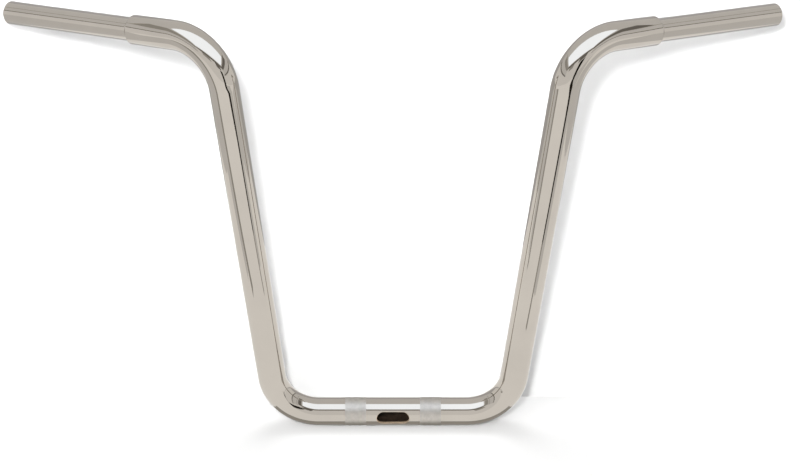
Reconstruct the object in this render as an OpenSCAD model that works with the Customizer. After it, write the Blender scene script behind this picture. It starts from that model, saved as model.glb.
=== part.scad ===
// Tall motorcycle handlebar bent from one steel tube, in its mounted frame.
// Origin: middle of the riser clamp zone, on the tube's axis.
// +X to the rider's right, +Z up, -Y to the front of the motorcycle.

/* [Tube] */
// Diameter of the main tube
tube_d = 31.75; // [30:0.05:34]
// Diameter of the two ends that carry the grips and levers
grip_d = 25.4; // [25.3:0.05:27]
// Wall of the tube
wall = 3.0; // [2:0.1:4]

/* [Shape] */
// Straight length between the two lower bends
centre_len = 168; // [150:1:220]
// Centreline radius of the lower bends
lower_bend_r = 54; // [46:1:75]
// Lean of each upright outward from the vertical
upright_lean = 6.5; // [0:0.5:15]
// Straight length of each upright
upright_len = 356.5; // [200:0.5:420]
// Centreline radius of the upper bends
upper_bend_r = 54; // [46:1:75]
// Sweep of each arm back towards the rider
arm_sweep = 31.8; // [20:0.1:45]
// Drop of each arm below the horizontal
arm_drop = 5.6; // [0:0.1:20]

/* [Arms] */
// Full-size straight between the upper bend and the step
arm_full_len = 57.5; // [30:0.5:90]
// Length of the thinner end
grip_len = 171.5; // [150:0.5:220]
// Length of the step's short taper
step_taper = 4; // [3:0.5:8]
// Chamfer around each open end
end_chamfer = 0.8; // [0.2:0.1:1.5]

/* [Clamp zone] */
// Distance between the middles of the two knurled bands
band_spacing = 85.4; // [80:0.1:92]
// Width of one knurled band
band_w = 24; // [18:0.5:32]
// Height of the knurl's crests above the tube
knurl_rise = 0.2; // [0.1:0.05:0.3]

/* [Wiring slot] */
// Length of the slot along the tube
slot_len = 37; // [24:0.5:44]
// Height of the slot
slot_h = 15; // [10:0.5:18]

/* [Hidden] */
$fn = 96;
steel = [0.78, 0.75, 0.71];

tube_r = tube_d / 2;
grip_r = grip_d / 2;
half = centre_len / 2;
lower_angle = 90 - upright_lean;
// The bends are this much fuller than the straights, so that no two of the
// tube's surfaces are tangent where they meet
bend_swell = 0.05;

// Heading of the right upright, and of the right arm, in the frame above
up_x = sin(upright_lean);
up_z = cos(upright_lean);
arm_x = cos(arm_drop) * cos(arm_sweep);
arm_y = cos(arm_drop) * sin(arm_sweep);
arm_z = -sin(arm_drop);
upper_angle = acos(up_x * arm_x + up_z * arm_z);
// Turn about the upright that brings its bend into the arm's plane
upper_turn = atan2(-arm_y, up_x * arm_z - up_z * arm_x);

// One bend of round bar: starts at the origin heading +Z and bends to +X
module bend(bend_r, angle, r) {
    translate([bend_r, 0, 0]) rotate([0, 0, 180]) rotate([90, 0, 0])
        rotate_extrude(angle = angle) translate([bend_r, 0])
            circle(r = r + bend_swell);
}

// Carries its children from the start of a bend to its end
module after_bend(bend_r, angle) {
    translate([bend_r * (1 - cos(angle)), 0, bend_r * sin(angle)])
        rotate([0, angle, 0]) children();
}

// Everything right of the centre tube; r is the main radius, and the
// children are the arm, heading +Z from the end of the upper bend
module side(r) {
    translate([half, 0, 0]) rotate([0, 90, 0]) rotate([0, 0, 180]) {
        bend(lower_bend_r, lower_angle, r);
        after_bend(lower_bend_r, lower_angle) {
            cylinder(r = r, h = upright_len);
            translate([0, 0, upright_len]) rotate([0, 0, upper_turn]) {
                bend(upper_bend_r, upper_angle, r);
                after_bend(upper_bend_r, upper_angle) children();
            }
        }
    }
}

// Outside of the arm, stepped down to the grip end
module arm_outside() {
    rotate_extrude() polygon([
        [0, 0], [tube_r, 0], [tube_r, arm_full_len - step_taper],
        [grip_r, arm_full_len],
        [grip_r, arm_full_len + grip_len - end_chamfer],
        [grip_r - end_chamfer, arm_full_len + grip_len],
        [0, arm_full_len + grip_len]]);
}

// Bore of the arm, open at the end
module arm_bore() {
    rotate_extrude() polygon([
        [0, 0], [tube_r - wall, 0], [tube_r - wall, arm_full_len - step_taper],
        [grip_r - wall, arm_full_len],
        [grip_r - wall, arm_full_len + grip_len + 1],
        [0, arm_full_len + grip_len + 1]]);
}

// The straight between the two lower bends; r is its radius
module centre_tube(r) {
    translate([-half, 0, 0]) rotate([0, 90, 0]) cylinder(r = r, h = centre_len);
}

// Raised crest of one knurled clamp band
module clamp_band() {
    translate([-band_w / 2, 0, 0]) rotate([0, 90, 0])
        cylinder(r = tube_r + knurl_rise, h = band_w);
}

// Round-ended slot through the front wall for the wiring
module wiring_slot() {
    end_x = (slot_len - slot_h) / 2;
    for (x = [-end_x, end_x])
        translate([x, 0, 0]) rotate([90, 0, 0]) cylinder(d = slot_h, h = tube_d);
    translate([-end_x, -tube_d, -slot_h / 2]) cube([2 * end_x, tube_d, slot_h]);
}

module handlebar() {
    color(steel) difference() {
        union() {
            centre_tube(tube_r);
            for (x = [-band_spacing / 2, band_spacing / 2])
                translate([x, 0, 0]) clamp_band();
            side(tube_r) arm_outside();
            mirror([1, 0, 0]) side(tube_r) arm_outside();
        }
        union() {
            centre_tube(tube_r - wall);
            side(tube_r - wall) arm_bore();
            mirror([1, 0, 0]) side(tube_r - wall) arm_bore();
        }
        wiring_slot();
    }
}

handlebar();
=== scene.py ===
"""Tall chromed motorcycle handlebar: the bent tube, dressed, and its stage."""
import math

import bmesh
import bpy
from bpy.props import FloatProperty, FloatVectorProperty, IntProperty
from bpy.props import PointerProperty
from mathutils import Matrix, Vector


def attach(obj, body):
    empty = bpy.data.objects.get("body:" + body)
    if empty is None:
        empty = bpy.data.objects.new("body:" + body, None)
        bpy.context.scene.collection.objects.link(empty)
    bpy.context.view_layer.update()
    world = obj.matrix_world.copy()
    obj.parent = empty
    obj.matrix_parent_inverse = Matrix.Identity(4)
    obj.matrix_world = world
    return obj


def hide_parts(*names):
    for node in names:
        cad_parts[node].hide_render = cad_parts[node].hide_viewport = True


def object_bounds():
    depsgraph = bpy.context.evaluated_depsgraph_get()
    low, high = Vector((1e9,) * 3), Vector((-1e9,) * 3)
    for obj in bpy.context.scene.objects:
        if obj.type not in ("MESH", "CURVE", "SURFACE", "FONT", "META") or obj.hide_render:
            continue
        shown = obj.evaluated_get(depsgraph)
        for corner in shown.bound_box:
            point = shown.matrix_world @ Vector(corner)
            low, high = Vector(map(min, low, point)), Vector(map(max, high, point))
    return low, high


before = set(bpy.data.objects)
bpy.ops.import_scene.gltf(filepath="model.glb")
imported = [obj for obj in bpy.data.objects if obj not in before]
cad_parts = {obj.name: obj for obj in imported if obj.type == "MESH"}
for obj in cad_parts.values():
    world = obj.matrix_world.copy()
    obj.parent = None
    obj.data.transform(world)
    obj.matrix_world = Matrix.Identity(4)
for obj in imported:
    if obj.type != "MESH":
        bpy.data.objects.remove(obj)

bl_info = {
    "name": "Tall motorcycle handlebar",
    "version": (1, 0, 0),
    "blender": (4, 5, 0),
    "location": "View3D > Sidebar > Handlebar",
    "description": "Builds a bent, chromed handlebar tube and a plain stage",
    "category": "Add Mesh",
}

CAD_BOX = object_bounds()

# Material slots of the tube's mesh
OUTSIDE, KNURL, CUT, BORE = range(4)


# Settings

class HandlebarShape(bpy.types.PropertyGroup):
    """Sizes of the bent tube"""
    tube_d: FloatProperty(
        name="Tube diameter", description="Diameter of the main tube",
        default=0.03175, unit="LENGTH")
    grip_d: FloatProperty(
        name="Grip diameter", description="Diameter of the two thinner ends",
        default=0.0254, unit="LENGTH")
    wall: FloatProperty(
        name="Wall", description="Thickness of the tube's wall",
        default=0.003, unit="LENGTH")
    centre_len: FloatProperty(
        name="Centre length",
        description="Straight length between the two lower bends",
        default=0.168, unit="LENGTH")
    bend_r: FloatProperty(
        name="Bend radius", description="Centreline radius of every bend",
        default=0.054, unit="LENGTH")
    upright_len: FloatProperty(
        name="Upright length", description="Straight length of each upright",
        default=0.3565, unit="LENGTH")
    upright_lean: FloatProperty(
        name="Upright lean", description="Lean of each upright outward",
        default=math.radians(6.5), unit="ROTATION")
    arm_sweep: FloatProperty(
        name="Arm sweep", description="Sweep of each arm back to the rider",
        default=math.radians(31.8), unit="ROTATION")
    arm_drop: FloatProperty(
        name="Arm drop", description="Drop of each arm below the horizontal",
        default=math.radians(5.6), unit="ROTATION")
    arm_full_len: FloatProperty(
        name="Full-size arm", description="Arm's length before its step",
        default=0.0575, unit="LENGTH")
    grip_len: FloatProperty(
        name="Grip length", description="Length of the thinner end",
        default=0.1712, unit="LENGTH")
    step_taper: FloatProperty(
        name="Step", description="Length over which the tube narrows",
        default=0.004, unit="LENGTH")
    band_spacing: FloatProperty(
        name="Band spacing", description="Between the knurled bands' middles",
        default=0.0854, unit="LENGTH")
    band_w: FloatProperty(
        name="Band width", description="Width of one knurled band",
        default=0.024, unit="LENGTH")
    knurl_rise: FloatProperty(
        name="Knurl crest", description="Height of the crests over the tube",
        default=0.00015, unit="LENGTH", precision=5)
    knurl_cut: FloatProperty(
        name="Knurl groove", description="Depth of the grooves in the tube",
        default=0.00008, unit="LENGTH", precision=5)
    slot_len: FloatProperty(
        name="Slot length", description="Length of the wiring slot",
        default=0.037, unit="LENGTH")
    slot_h: FloatProperty(
        name="Slot height", description="Height of the wiring slot",
        default=0.015, unit="LENGTH")
    around: IntProperty(
        name="Faces around", description="Faces around the tube, a multiple "
        "of four", default=128, min=32)
    bend_steps: IntProperty(
        name="Bend steps", description="Rings along one bend",
        default=36, min=8)


class HandlebarFinish(bpy.types.PropertyGroup):
    """Colours and gloss of the metal"""
    chrome: FloatVectorProperty(
        name="Chrome", description="Colour of the plated tube",
        subtype="COLOR", default=(0.571, 0.527, 0.468), min=0, max=1)
    chrome_roughness: FloatProperty(
        name="Chrome roughness", description="Roughness of the plating",
        default=0.045, min=0, max=1, subtype="FACTOR")
    knurl: FloatVectorProperty(
        name="Knurl", description="Colour of the knurled bands",
        subtype="COLOR", default=(0.585, 0.550, 0.502), min=0, max=1)
    cut_edge: FloatVectorProperty(
        name="Cut edge", description="Colour of the slot's cut wall",
        subtype="COLOR", default=(0.34, 0.26, 0.18), min=0, max=1)
    bore: FloatVectorProperty(
        name="Bore", description="Colour inside the tube",
        subtype="COLOR", default=(0.024, 0.016, 0.011), min=0, max=1)


class StudioSettings(bpy.types.PropertyGroup):
    """Camera: its target, distance, angles and lens"""
    target: FloatVectorProperty(
        name="Target", description="Point that the camera looks at",
        subtype="TRANSLATION", unit="LENGTH", default=(0.00652, 0, 0.22558))
    distance: FloatProperty(
        name="Distance", description="From the target to the camera",
        default=2.0, unit="LENGTH")
    azimuth: FloatProperty(
        name="Azimuth", description="Camera's turn about the vertical",
        default=math.radians(-0.89), unit="ROTATION")
    elevation: FloatProperty(
        name="Elevation", description="Camera's height above the horizon",
        default=math.radians(28.3), unit="ROTATION")
    roll: FloatProperty(
        name="Roll", description="Camera's roll",
        default=math.radians(0.47), unit="ROTATION")
    lens: FloatProperty(
        name="Lens", description="Focal length on a 36 mm sensor, in mm",
        default=82.588, min=10)


# Tube

UPRIGHT_RINGS = 4    # rings along an upright
STEP_RINGS = 8       # rings along the step down to the grip
LIP = 0.0008         # rounding of the open ends
LIP_RINGS = 4        # rings of that rounding
# The slot's rounded lip outside: depth under the skin, and outward offset
SLOT_LIP = ((0.0004, 0), (0.00012, 0.00012), (0, 0.0004))
SHARP_ANGLE = math.radians(35)


def ring_edges(bm, ring):
    """Edges of a closed ring of vertices, in order."""
    return [bm.edges.get(pair) for pair in zip(ring, ring[1:] + ring[:1])]


def grow(bm, ring, finish):
    """Extrudes a closed ring of vertices and returns the new ring in order."""
    made = bmesh.ops.extrude_edge_only(
        bm, edges=ring_edges(bm, ring))["geom"]
    for face in made:
        if isinstance(face, bmesh.types.BMFace):
            face.material_index = finish
            face.smooth = True
    new = {v for v in made if isinstance(v, bmesh.types.BMVert)}
    return [next(e.other_vert(v) for e in v.link_edges
                 if e.other_vert(v) in new) for v in ring]


def swell(bm, ring, centre, factor):
    """Scales a ring about the centre of its tube."""
    bmesh.ops.scale(bm, verts=ring, vec=(factor,) * 3,
                    space=Matrix.Translation(-centre))


def slot_outline(shape, offset, distance):
    """Point (x, z) of the slot's outline, offset outward, by arc length.

    The distance runs from the middle of the lower side towards +X, as a
    share of the whole outline."""
    flat, r = (shape.slot_len - shape.slot_h) / 2, shape.slot_h / 2
    quarter = flat + math.pi * r / 2
    s = (distance % 1.0) * 4 * quarter
    side = 1
    if s > 2 * quarter:
        s, side = 4 * quarter - s, -1
    if s < flat:
        x, z = s, -(r + offset)
    elif s > 2 * quarter - flat:
        x, z = 2 * quarter - s, r + offset
    else:
        a = (s - flat) / r - math.pi / 2
        x, z = flat + (r + offset) * math.cos(a), (r + offset) * math.sin(a)
    return side * x, z


class SlotSheet:
    """The tube's middle section, opened out as a sheet around the slot.

    Its rings run from the slot's outline to a rectangle that closes round
    the tube, with as many vertices at its two ends as the tube has."""

    HALF = 0.024       # half the section's length
    ALONG = 24         # faces along the seam at the back
    TOP_SHARE = 0.055  # half the outline's share that faces the seam
    RINGS = 28         # rings from the outline to the rectangle
    CROWDING = 1.35    # above 1, rings stand closer near the outline

    def __init__(self, shape):
        self.shape = shape
        self.around = shape.around
        self.count = 2 * (self.around + self.ALONG)

    def place(self, index):
        """(share of the outline, x, angle) of a vertex of the ring."""
        n, m = self.around, self.ALONG
        top = self.TOP_SHARE
        if index <= n:
            t = index / n
            return top + (0.5 - 2 * top) * t, self.HALF, math.pi * (2 * t - 1)
        if index <= n + m:
            t = (index - n) / m
            return 0.5 - top + 2 * top * t, self.HALF * (1 - 2 * t), math.pi
        if index <= 2 * n + m:
            t = (index - n - m) / n
            return (0.5 + top + (0.5 - 2 * top) * t, -self.HALF,
                    math.pi * (1 - 2 * t))
        t = (index - 2 * n - m) / m
        return 1 - top + 2 * top * t, self.HALF * (2 * t - 1), -math.pi

    def put(self, ring, radius, offset, t):
        """Lays a ring on the cylinder, a share t of the way outward."""
        for i, v in enumerate(ring):
            share, far_x, far_angle = self.place(i)
            x, z = slot_outline(self.shape, offset, share)
            angle = math.asin(max(-1.0, min(1.0, z / radius)))
            x += (far_x - x) * t
            angle += (far_angle - angle) * t
            v.co = (x, -radius * math.cos(angle), radius * math.sin(angle))

    def spread(self, bm, ring, radius, offset, finish):
        """Grows the sheet to its rectangle and closes it at the back.

        It returns the ring at each end, by the sign of its x."""
        for k in range(1, self.RINGS + 1):
            ring = grow(bm, ring, finish)
            self.put(ring, radius, offset * (1 - k / self.RINGS),
                     (k / self.RINGS) ** self.CROWDING)
        n, m = self.around, self.ALONG
        weld = {ring[n + i]: ring[-i % self.count] for i in range(m + 1)}
        bmesh.ops.weld_verts(bm, targetmap=weld)
        return {1: ring[:n], -1: ring[n + m + 1:2 * n + m + 1]}


class Walk:
    """A tube grown ring by ring along the bar's centreline."""

    def __init__(self, bm, ring, radius, side, finish):
        self.bm, self.ring, self.radius = bm, ring, radius
        self.finish = finish
        self.heading = Vector((side, 0, 0))
        self.at = Vector((side * SlotSheet.HALF, 0, 0))

    def straight(self, length, to_radius=None):
        """One more ring at the end of a straight, of another radius or not."""
        self.ring = grow(self.bm, self.ring, self.finish)
        bmesh.ops.translate(self.bm, verts=self.ring,
                            vec=self.heading * length)
        self.at = self.at + self.heading * length
        if to_radius:
            swell(self.bm, self.ring, self.at, to_radius / self.radius)
            self.radius = to_radius

    def bend(self, to, bend_r, steps):
        """Rings along a bend from this heading to another."""
        angle = self.heading.angle(to)
        inward = (to - self.heading * self.heading.dot(to)).normalized()
        centre = self.at + inward * bend_r
        turn = Matrix.Rotation(angle / steps, 3, self.heading.cross(to))
        for _ in range(steps):
            self.ring = grow(self.bm, self.ring, self.finish)
            bmesh.ops.rotate(self.bm, verts=self.ring, cent=centre,
                             matrix=turn)
        self.at = centre + Matrix.Rotation(
            angle, 3, self.heading.cross(to)) @ (self.at - centre)
        self.heading = to.copy()


def knurl_band(walk, shape):
    """Rows of small pyramids: crests and grooves swap from row to row.

    It returns the band's faces."""
    rows = 2 * round(shape.band_w / (math.pi * shape.tube_d
                                     / shape.around) / 2)
    before = set(walk.bm.faces)
    smooth, walk.finish = walk.finish, KNURL
    for row in range(1, rows + 1):
        walk.straight(shape.band_w / rows)
        for i, v in enumerate(walk.ring):
            crest = walk.radius + (shape.knurl_rise if (i + row) % 2
                                   else -shape.knurl_cut)
            if row == rows:
                crest = walk.radius
            factor = crest / math.hypot(v.co.y, v.co.z)
            v.co.y *= factor
            v.co.z *= factor
    walk.finish = smooth
    return [f for f in walk.bm.faces if f not in before]


def grow_side(bm, ring, shape, side, outside):
    """One half of the bar, from the slot's section to its open end.

    It returns the last ring and the faces of the knurled band."""
    lean, sweep, drop = shape.upright_lean, shape.arm_sweep, shape.arm_drop
    up = Vector((side * math.sin(lean), 0, math.cos(lean)))
    arm = Vector((side * math.cos(drop) * math.cos(sweep),
                  math.cos(drop) * math.sin(sweep), -math.sin(drop)))
    inset = 0 if outside else shape.wall
    full_r, grip_r = shape.tube_d / 2 - inset, shape.grip_d / 2 - inset
    walk = Walk(bm, ring, full_r, side, OUTSIDE if outside else BORE)
    band_in = (shape.band_spacing - shape.band_w) / 2
    knurled = []
    if outside:
        walk.straight(band_in - SlotSheet.HALF)
        knurled = knurl_band(walk, shape)
        walk.straight(shape.centre_len / 2 - band_in - shape.band_w)
    else:
        walk.straight(shape.centre_len / 2 - SlotSheet.HALF)
    walk.bend(up, shape.bend_r, shape.bend_steps)
    for _ in range(UPRIGHT_RINGS):
        walk.straight(shape.upright_len / UPRIGHT_RINGS)
    walk.bend(arm, shape.bend_r, shape.bend_steps)
    walk.straight(shape.arm_full_len - shape.step_taper)
    for k in range(1, STEP_RINGS + 1):
        t = k / STEP_RINGS
        ease = t * t * (3 - 2 * t)
        walk.straight(shape.step_taper / STEP_RINGS,
                      full_r + (grip_r - full_r) * ease)
    if not outside:
        walk.straight(shape.grip_len - LIP / 2)
        walk.straight(LIP / 2, grip_r + LIP / 2)
        return walk.ring, knurled
    walk.straight(shape.grip_len - LIP)
    for k in range(1, LIP_RINGS + 1):
        a = math.pi / 2 * k / LIP_RINGS
        b = math.pi / 2 * (k - 1) / LIP_RINGS
        walk.straight(LIP * (math.sin(a) - math.sin(b)),
                      grip_r - LIP * (1 - math.cos(a)))
    return walk.ring, knurled


def tube_mesh(shape):
    """The whole bar as one closed mesh, hollow, with its slot cut through."""
    bm = bmesh.new()
    sheet = SlotSheet(shape)
    outer_r = shape.tube_d / 2
    inner_r = outer_r - shape.wall
    made = bmesh.ops.create_circle(bm, segments=sheet.count,
                                   radius=inner_r)
    rim = list(made["verts"])
    sheet.put(rim, inner_r, 0, 0)
    # From the slot's inner rim: its wall, its rounded lip and the skin
    ring = rim
    for depth, offset in SLOT_LIP:
        ring = grow(bm, ring, CUT)
        sheet.put(ring, outer_r - depth, offset, 0)
    outer = sheet.spread(bm, ring, outer_r, SLOT_LIP[-1][1], OUTSIDE)
    inner = sheet.spread(bm, rim, inner_r, 0, BORE)
    knurled = []
    for side in (1, -1):
        out_end, band = grow_side(bm, outer[side], shape, side, True)
        in_end, _ = grow_side(bm, inner[side], shape, side, False)
        knurled += band
        made = bmesh.ops.bridge_loops(
            bm, edges=ring_edges(bm, out_end) + ring_edges(bm, in_end))
        for face in made["faces"]:
            face.material_index = OUTSIDE
    bmesh.ops.recalc_face_normals(bm, faces=bm.faces)
    made = bmesh.ops.triangulate(bm, faces=knurled,
                                 quad_method="SHORT_EDGE")
    for face in made["faces"]:
        face.smooth = False
    mesh = bpy.data.meshes.new("handlebar_tube")
    bm.to_mesh(mesh)
    bm.free()
    mesh.set_sharp_from_angle(angle=SHARP_ANGLE)
    return mesh


# Materials

def node_tree(name):
    """A new material: (material, add a node, link two sockets, its shader)."""
    mat = bpy.data.materials.new(name)
    mat.use_nodes = True
    tree = mat.node_tree
    shader = tree.nodes["Principled BSDF"]

    def add(kind, **values):
        node = tree.nodes.new(kind)
        for key, value in values.items():
            if key in node.inputs:
                node.inputs[key].default_value = value
            else:
                setattr(node, key, value)
        return node

    return mat, add, tree.links.new, shader


def uneven(add, link, coords, scale, low, high, detail=3.0):
    """Noise in the piece's own space, stretched to run from low to high."""
    noise = add("ShaderNodeTexNoise", Scale=scale, Detail=detail)
    spread = add("ShaderNodeMapRange")
    for key, value in (("From Min", 0.3), ("From Max", 0.7),
                       ("To Min", low), ("To Max", high)):
        spread.inputs[key].default_value = value
    link(coords.outputs["Object"], noise.inputs["Vector"])
    link(noise.outputs["Fac"], spread.inputs["Value"])
    return spread.outputs[0]


def tinted(add, link, factor, base, darker, lighter):
    """The base colour times a number that runs from darker to lighter."""
    mix = add("ShaderNodeMix", data_type="RGBA")
    for index, share in ((6, darker), (7, lighter)):
        mix.inputs[index].default_value = (
            *[min(1, c * share) for c in base], 1)
    link(factor, mix.inputs[0])
    return mix.outputs[2]


def relief(add, link, shader, height, strength, distance):
    """Bumps the shader's surface by a height socket."""
    bump = add("ShaderNodeBump", Strength=strength, Distance=distance)
    link(height, bump.inputs["Height"])
    link(bump.outputs[0], shader.inputs["Normal"])


def chrome_material(finish):
    """Polished plating: a faint haze, and the tube's slight waviness."""
    mat, add, link, shader = node_tree("chrome_plate")
    coords = add("ShaderNodeTexCoord")
    shader.inputs["Metallic"].default_value = 1.0
    haze = uneven(add, link, coords, 18.0, 0.0, 1.0)
    link(tinted(add, link, haze, finish.chrome, 0.97, 1.03),
         shader.inputs["Base Color"])
    rough = finish.chrome_roughness
    link(uneven(add, link, coords, 55.0, rough * 0.7, rough * 1.4),
         shader.inputs["Roughness"])
    wave = add("ShaderNodeTexNoise", Scale=38.0, Detail=1.0)
    link(coords.outputs["Object"], wave.inputs["Vector"])
    relief(add, link, shader, wave.outputs["Fac"], 1.0, 0.00003)
    return mat


def knurl_material(finish):
    """Plated knurl: its facets are geometry, dulled by the plating's grain."""
    mat, add, link, shader = node_tree("chrome_knurl")
    coords = add("ShaderNodeTexCoord")
    shader.inputs["Metallic"].default_value = 1.0
    tone = uneven(add, link, coords, 240.0, 0.0, 1.0)
    link(tinted(add, link, tone, finish.knurl, 0.92, 1.06),
         shader.inputs["Base Color"])
    link(uneven(add, link, coords, 900.0, 0.36, 0.52),
         shader.inputs["Roughness"])
    grain = add("ShaderNodeTexNoise", Scale=2600.0, Detail=2.0)
    link(coords.outputs["Object"], grain.inputs["Vector"])
    relief(add, link, shader, grain.outputs["Fac"], 0.5, 0.00004)
    return mat


def cut_material(finish):
    """The slot's cut wall: bare steel with milling marks and a brown tone."""
    mat, add, link, shader = node_tree("cut_steel")
    coords = add("ShaderNodeTexCoord")
    shader.inputs["Metallic"].default_value = 0.45
    tone = uneven(add, link, coords, 300.0, 0.0, 1.0)
    link(tinted(add, link, tone, finish.cut_edge, 0.75, 1.2),
         shader.inputs["Base Color"])
    link(uneven(add, link, coords, 500.0, 0.45, 0.62),
         shader.inputs["Roughness"])
    marks = add("ShaderNodeTexWave", wave_type="BANDS", bands_direction="Y",
                Scale=1400.0, Distortion=1.5)
    link(coords.outputs["Object"], marks.inputs["Vector"])
    relief(add, link, shader, marks.outputs["Fac"], 0.3, 0.00003)
    return mat


def bore_material(finish):
    """Inside of the tube: dark, oily mill scale."""
    mat, add, link, shader = node_tree("bore_scale")
    coords = add("ShaderNodeTexCoord")
    shader.inputs["Metallic"].default_value = 0.35
    tone = uneven(add, link, coords, 160.0, 0.0, 1.0, detail=5.0)
    link(tinted(add, link, tone, finish.bore, 0.6, 1.7),
         shader.inputs["Base Color"])
    link(uneven(add, link, coords, 420.0, 0.45, 0.75),
         shader.inputs["Roughness"])
    relief(add, link, shader, tone, 0.5, 0.0001)
    return mat


class HANDLEBAR_OT_tube(bpy.types.Operator):
    """Builds the bent tube with its knurled bands, slot and open ends"""
    bl_idname = "handlebar.tube"
    bl_label = "Bent tube"

    def execute(self, context):
        shape = context.scene.handlebar_shape
        finish = context.scene.handlebar_finish
        mesh = tube_mesh(shape)
        for mat in (chrome_material(finish), knurl_material(finish),
                    cut_material(finish), bore_material(finish)):
            mesh.materials.append(mat)
        tube = bpy.data.objects.new("handlebar_tube", mesh)
        context.collection.objects.link(tube)
        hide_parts("handlebar")
        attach(tube, "root")
        return {"FINISHED"}


# Stage

GROUND_GAP = 0.0002   # between the bar and the floor
# Reflected cards: colour and strength of each finish
CARD_FINISHES = {
    "softbox_white": ((0.92, 1.0, 1.12), 1.62),
    "card_black": ((0.02, 0.016, 0.012), 1.0),
    "card_grey": ((0.20, 0.19, 0.18), 1.0),
    "card_smoke": ((0.40, 0.39, 0.37), 1.0),
    "card_pale": ((0.72, 0.72, 0.72), 1.0),
    "card_shade": ((0.52, 0.52, 0.52), 1.0),
    "card_light": ((0.86, 0.86, 0.86), 1.0),
}
# White papers: albedo, and a glow that keeps them white where they are lit
FLOOR_PAPER = (0.82, 0.14)
MAT_PAPER = (0.43, 0.085)
BACKDROP_PAPER = (0.50, 0.04)
# The room that the metal shows
ROOM_SIDE, ROOM_FRONT, ROOM_BACK, ROOM_TOP = 4, -5, 3, 4
# Bands of its side walls from the floor up: name, upper edge, finish
WALL_BANDS = (("wall_low", 1.46, "card_light"),
              ("wall_line", 1.66, "card_grey"),
              ("wall_mid", 2.74, "card_pale"),
              ("wall_band", 2.86, "card_smoke"),
              ("wall_high", ROOM_TOP, "card_pale"))
WORLD_LIGHT = 0.65    # the world's strength where no camera or metal sees it


def bare_material(name):
    """A new material without a shader: (material, add, link, its output)."""
    mat, add, link, shader = node_tree(name)
    mat.node_tree.nodes.remove(shader)
    output = mat.node_tree.nodes["Material Output"]
    return mat, add, link, output.inputs["Surface"]


def glow_material(name, colour, strength):
    """An even glow, for the cards that the metal reflects."""
    mat, add, link, surface = bare_material(name)
    glow = add("ShaderNodeEmission", Color=(*colour, 1), Strength=strength)
    link(glow.outputs[0], surface)
    return mat


def paper_material(name, albedo, glow_level, one_sided=False):
    """White paper: its shadow shows, and metal reflects it evenly.

    One-sided paper is clear from behind."""
    mat, add, link, surface = bare_material(name)
    path = add("ShaderNodeLightPath")
    paper = add("ShaderNodeBsdfDiffuse", Color=(albedo, albedo, albedo, 1))
    glow = add("ShaderNodeEmission", Color=(1, 1, 1, 1), Strength=glow_level)
    seen = add("ShaderNodeAddShader")
    link(paper.outputs[0], seen.inputs[0])
    link(glow.outputs[0], seen.inputs[1])
    even = add("ShaderNodeEmission", Color=(1, 1, 1, 1), Strength=1.0)
    result = add("ShaderNodeMixShader")
    link(path.outputs["Is Glossy Ray"], result.inputs[0])
    link(seen.outputs[0], result.inputs[1])
    link(even.outputs[0], result.inputs[2])
    if one_sided:
        front = result
        face, clear = (add("ShaderNodeNewGeometry"),
                       add("ShaderNodeBsdfTransparent"))
        result = add("ShaderNodeMixShader")
        link(face.outputs["Backfacing"], result.inputs[0])
        link(front.outputs[0], result.inputs[1])
        link(clear.outputs[0], result.inputs[2])
    link(result.outputs[0], surface)
    return mat


def quad(name, corners, mat, reflected_only=True):
    """A flat stage card from four corners."""
    bm = bmesh.new()
    bm.faces.new([bm.verts.new(c) for c in corners])
    mesh = bpy.data.meshes.new(name)
    bm.to_mesh(mesh)
    bm.free()
    mesh.materials.append(mat)
    card = bpy.data.objects.new(name, mesh)
    bpy.context.collection.objects.link(card)
    if reflected_only:
        card.visible_camera = card.visible_diffuse = False
        card.visible_shadow = card.visible_transmission = False
    return card


def strip(name, points, widths, z, mat):
    """A level band along a line of points, with a width at each."""
    line = [Vector((x, y, z)) for x, y in points]
    left, right = [], []
    for i, here in enumerate(line):
        along = line[min(i + 1, len(line) - 1)] - line[max(i - 1, 0)]
        side = along.cross(Vector((0, 0, 1))).normalized() * widths[i] / 2
        left.append(here - side)
        right.append(here + side)
    for i in range(len(line) - 1):
        quad(name, [left[i], left[i + 1], right[i + 1], right[i]], mat)


def level(x0, x1, y0, y1, z):
    """Corners of a level rectangle."""
    return [(x0, y0, z), (x1, y0, z), (x1, y1, z), (x0, y1, z)]


def facing(x0, x1, y, z0, z1):
    """Corners of an upright rectangle that faces along Y."""
    return [(x0, y, z0), (x1, y, z0), (x1, y, z1), (x0, y, z1)]


def backdrop(ground):
    """White sheet leaning away behind the bar, seen from the front alone.

    It takes the bar's shadow there, and from behind it is clear."""
    foot, lean, edge, top = 0.055, 0.34, 0.60, 0.62
    back = foot + lean * (top - ground)
    card = quad("backdrop", [(-edge, foot, ground), (edge, foot, ground),
                             (edge, back, top), (-edge, back, top)],
                paper_material("backdrop_white", *BACKDROP_PAPER, True),
                reflected_only=False)
    card.visible_glossy = card.visible_diffuse = False
    card.visible_shadow = False


def room(ground, cards):
    """Pale walls and ceiling, with dark lines across the side walls."""
    low = ground
    for name, high, finish in WALL_BANDS:
        for x in (-ROOM_SIDE, ROOM_SIDE):
            quad(name, [(x, ROOM_FRONT, low), (x, ROOM_BACK, low),
                        (x, ROOM_BACK, high), (x, ROOM_FRONT, high)],
                 cards[finish])
        low = high
    shade_top = 1.5
    for name, y, z0, z1, finish in (
            ("front_wall", ROOM_FRONT, ground, ROOM_TOP, "card_light"),
            ("rear_low", ROOM_BACK, ground, shade_top, "card_shade"),
            ("rear_wall", ROOM_BACK, shade_top, ROOM_TOP, "card_pale")):
        quad(name, facing(-ROOM_SIDE, ROOM_SIDE, y, z0, z1), cards[finish])
    quad("ceiling", level(-ROOM_SIDE, ROOM_SIDE, ROOM_FRONT, ROOM_BACK,
                          ROOM_TOP), cards["card_pale"])


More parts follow.
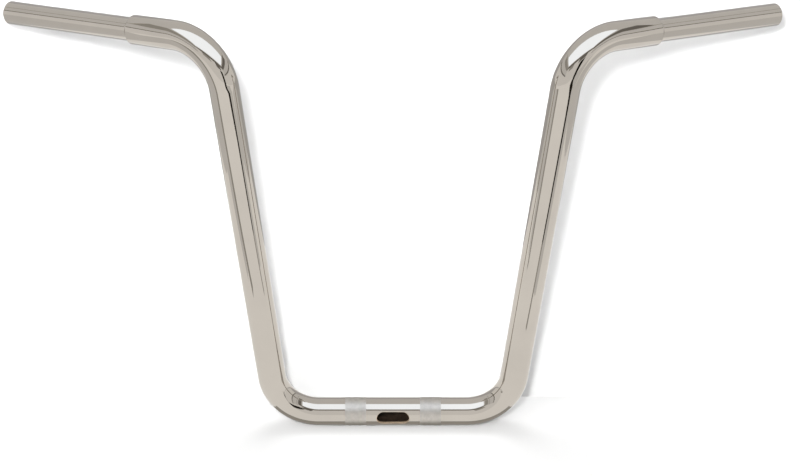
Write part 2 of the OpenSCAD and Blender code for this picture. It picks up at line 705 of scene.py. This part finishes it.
def overhead_cards(cards):
    """The softbox over and before the bar, with dark cards round it."""
    box_z, edge_z = 1.2, 1.19
    for name, x0, x1, y0, y1, z, finish in (
            ("softbox", -0.90, 0.90, -1.10, 0.06, box_z, "softbox_white"),
            ("edge_front", -1.00, 1.00, -1.54, -1.19, edge_z, "card_grey"),
            ("edge_left", -1.40, -1.00, -1.54, 0.45, edge_z, "card_smoke"),
            ("edge_right", 1.00, 1.40, -1.54, 0.45, edge_z, "card_grey")):
        quad(name, level(x0, x1, y0, y1, z), cards[finish])


def low_cards(ground, cards):
    """Darker floor round the bar, a painted contact shadow under the tube, dark lines on
    the floor, and cards beyond.
    """
    contact_z, area_z = ground + 0.0001, ground + 0.001
    strip_z, line_z = ground + 0.002, ground + 0.003
    quad("floor_rear", level(-4, 4, 0.45, 3, area_z), cards["card_shade"])
    quad("floor_west", level(-4, -0.70, -0.30, 0.45, area_z),
         cards["card_pale"])
    quad("floor_east", level(0.75, 4, -0.50, 0.45, area_z),
         cards["card_pale"])
    # Painted contact shadow: a grey card under the tube, seen only by the metal, standing
    # in for the floor's shade there
    quad("contact_shadow", level(-0.15, 0.15, -0.022, 0.012, contact_z),
         cards["card_smoke"])
    strip("floor_right", [(0.30, -0.25), (0.52, -0.45), (0.95, -0.80),
                          (1.42, -1.65), (2.4, -3.0)],
          (0.12, 0.24, 0.55, 1.1, 2.2), strip_z, cards["card_pale"])
    strip("floor_left", [(-0.38, -0.22), (-0.85, -0.30), (-2.0, -0.5)],
          (0.06, 0.40, 1.2), strip_z, cards["card_pale"])
    strip("line_near", [(0.20, -0.22), (0.32, -0.40)],
          (0.04, 0.06), line_z, cards["card_smoke"])
    strip("line_right", [(0.32, -0.40), (0.59, -0.70), (0.67, -0.94),
                         (0.76, -1.70), (1.12, -2.60)],
          (0.06, 0.17, 0.29, 0.42, 0.60), line_z, cards["card_black"])
    far_y = -2.6
    quad("post", facing(0.86, 1.48, far_y, ground, 1.2),
         cards["card_black"])
    for side, finish in ((1, "card_grey"), (-1, "card_smoke")):
        quad("panel", facing(side * 0.40, side * 1.40, far_y, 1.30, 2.10),
             cards[finish])
    strip("line_left", [(-0.28, -0.27), (-0.85, -0.50), (-2.0, -0.95)],
          (0.06, 0.18, 0.45), line_z, cards["card_smoke"])


def lamp(name, kind, place, target, power, **settings):
    """A lamp that shines at a point, and that metal doesn't show."""
    data = bpy.data.lights.new(name, kind)
    data.energy = power
    for key, value in settings.items():
        setattr(data, key, value)
    light = bpy.data.objects.new(name, data)
    light.location = place
    light.rotation_euler = (Vector(target) - Vector(place)).to_track_quat(
        "-Z", "Y").to_euler()
    bpy.context.collection.objects.link(light)
    light.visible_glossy = False


def studio_lamps():
    """A broad fill, a key lamp beside the camera and one overhead."""
    middle, foot = (0.0065, 0, 0.2256), (0, 0, 0)
    lamp("fill", "SUN", (-0.72, -1.248, 1.384), foot, 2.05,
         angle=math.radians(40))
    lamp("key", "AREA", (-0.165, -1.670, 1.340), middle, 51,
         shape="DISK", size=0.20)
    lamp("top", "AREA", (-0.05, 0.40, 1.15), foot, 10,
         shape="DISK", size=0.70)


def studio_world():
    """White behind everything, and a softer level for the light itself."""
    world = bpy.data.worlds.new("studio")
    world.use_nodes = True
    tree = world.node_tree
    tree.nodes.clear()
    path = tree.nodes.new("ShaderNodeLightPath")
    seen = tree.nodes.new("ShaderNodeBackground")
    light = tree.nodes.new("ShaderNodeBackground")
    seen.inputs["Color"].default_value = (1, 1, 1, 1)
    light.inputs["Color"].default_value = (1, 1, 1, 1)
    light.inputs["Strength"].default_value = WORLD_LIGHT
    first = tree.nodes.new("ShaderNodeMath")
    second = tree.nodes.new("ShaderNodeMath")
    first.operation = second.operation = "MAXIMUM"
    mix = tree.nodes.new("ShaderNodeMixShader")
    out = tree.nodes.new("ShaderNodeOutputWorld")
    link = tree.links.new
    link(path.outputs["Is Camera Ray"], first.inputs[0])
    link(path.outputs["Is Glossy Ray"], first.inputs[1])
    link(first.outputs[0], second.inputs[0])
    link(path.outputs["Is Transmission Ray"], second.inputs[1])
    link(second.outputs[0], mix.inputs[0])
    link(light.outputs[0], mix.inputs[1])
    link(seen.outputs[0], mix.inputs[2])
    link(mix.outputs[0], out.inputs["Surface"])
    bpy.context.scene.world = world


def studio_camera(setup):
    """The camera, from its target, distance and three angles."""
    az, el, roll = setup.azimuth, setup.elevation, setup.roll
    back = Vector((math.sin(az) * math.cos(el), -math.cos(az) * math.cos(el),
                   math.sin(el)))
    right = Vector((math.cos(az), math.sin(az), 0))
    up = back.cross(right)
    right, up = (right * math.cos(roll) + up * math.sin(roll),
                 up * math.cos(roll) - right * math.sin(roll))
    turn = Matrix((right, up, back)).transposed().to_4x4()
    data = bpy.data.cameras.new("camera")
    data.sensor_width, data.lens = 36.0, setup.lens
    data.clip_end = 50
    camera = bpy.data.objects.new("camera", data)
    place = Vector(setup.target) + back * setup.distance
    camera.matrix_world = Matrix.Translation(place) @ turn
    bpy.context.collection.objects.link(camera)
    bpy.context.scene.camera = camera


class HANDLEBAR_OT_stage(bpy.types.Operator):
    """Builds the floor, the reflected cards, the lamps and the camera"""
    bl_idname = "handlebar.stage"
    bl_label = "Stage"

    def execute(self, context):
        ground = CAD_BOX[0].z - GROUND_GAP
        quad("floor", level(-30, 30, -30, 30, ground),
             paper_material("floor_white", *FLOOR_PAPER),
             reflected_only=False)
        # A darker paper that shows the shadow where the bar stands
        quad("mat", level(-0.22, 0.22, -0.18, 0.055, ground + 0.00005),
             paper_material("mat_white", *MAT_PAPER), reflected_only=False)
        backdrop(ground)
        cards = {name: glow_material(name, colour, strength)
                 for name, (colour, strength) in CARD_FINISHES.items()}
        room(ground, cards)
        overhead_cards(cards)
        low_cards(ground, cards)
        studio_lamps()
        studio_world()
        studio_camera(context.scene.handlebar_studio)
        context.scene.view_settings.view_transform = "Standard"
        return {"FINISHED"}


class HANDLEBAR_PT_panel(bpy.types.Panel):
    """Sidebar panel with the builders and their settings"""
    bl_idname = "HANDLEBAR_PT_panel"
    bl_label = "Handlebar"
    bl_space_type = "VIEW_3D"
    bl_region_type = "UI"
    bl_category = "Handlebar"

    def draw(self, context):
        scene, layout = context.scene, self.layout
        for group in (scene.handlebar_shape, scene.handlebar_finish,
                      scene.handlebar_studio):
            box = layout.box()
            for name in group.__annotations__:
                box.prop(group, name)
        for operator in BUILDERS:
            layout.operator(operator.bl_idname)


BUILDERS = (HANDLEBAR_OT_tube, HANDLEBAR_OT_stage)
GROUPS = {"handlebar_shape": HandlebarShape,
          "handlebar_finish": HandlebarFinish,
          "handlebar_studio": StudioSettings}


def register():
    for cls in (*GROUPS.values(), *BUILDERS, HANDLEBAR_PT_panel):
        bpy.utils.register_class(cls)
    for name, group in GROUPS.items():
        setattr(bpy.types.Scene, name, PointerProperty(type=group))


def unregister():
    for name in GROUPS:
        delattr(bpy.types.Scene, name)
    for cls in (HANDLEBAR_PT_panel, *BUILDERS, *GROUPS.values()):
        bpy.utils.unregister_class(cls)


def main():
    register()
    bpy.ops.handlebar.tube()
    bpy.ops.handlebar.stage()


if __name__ == "__main__":
    main()
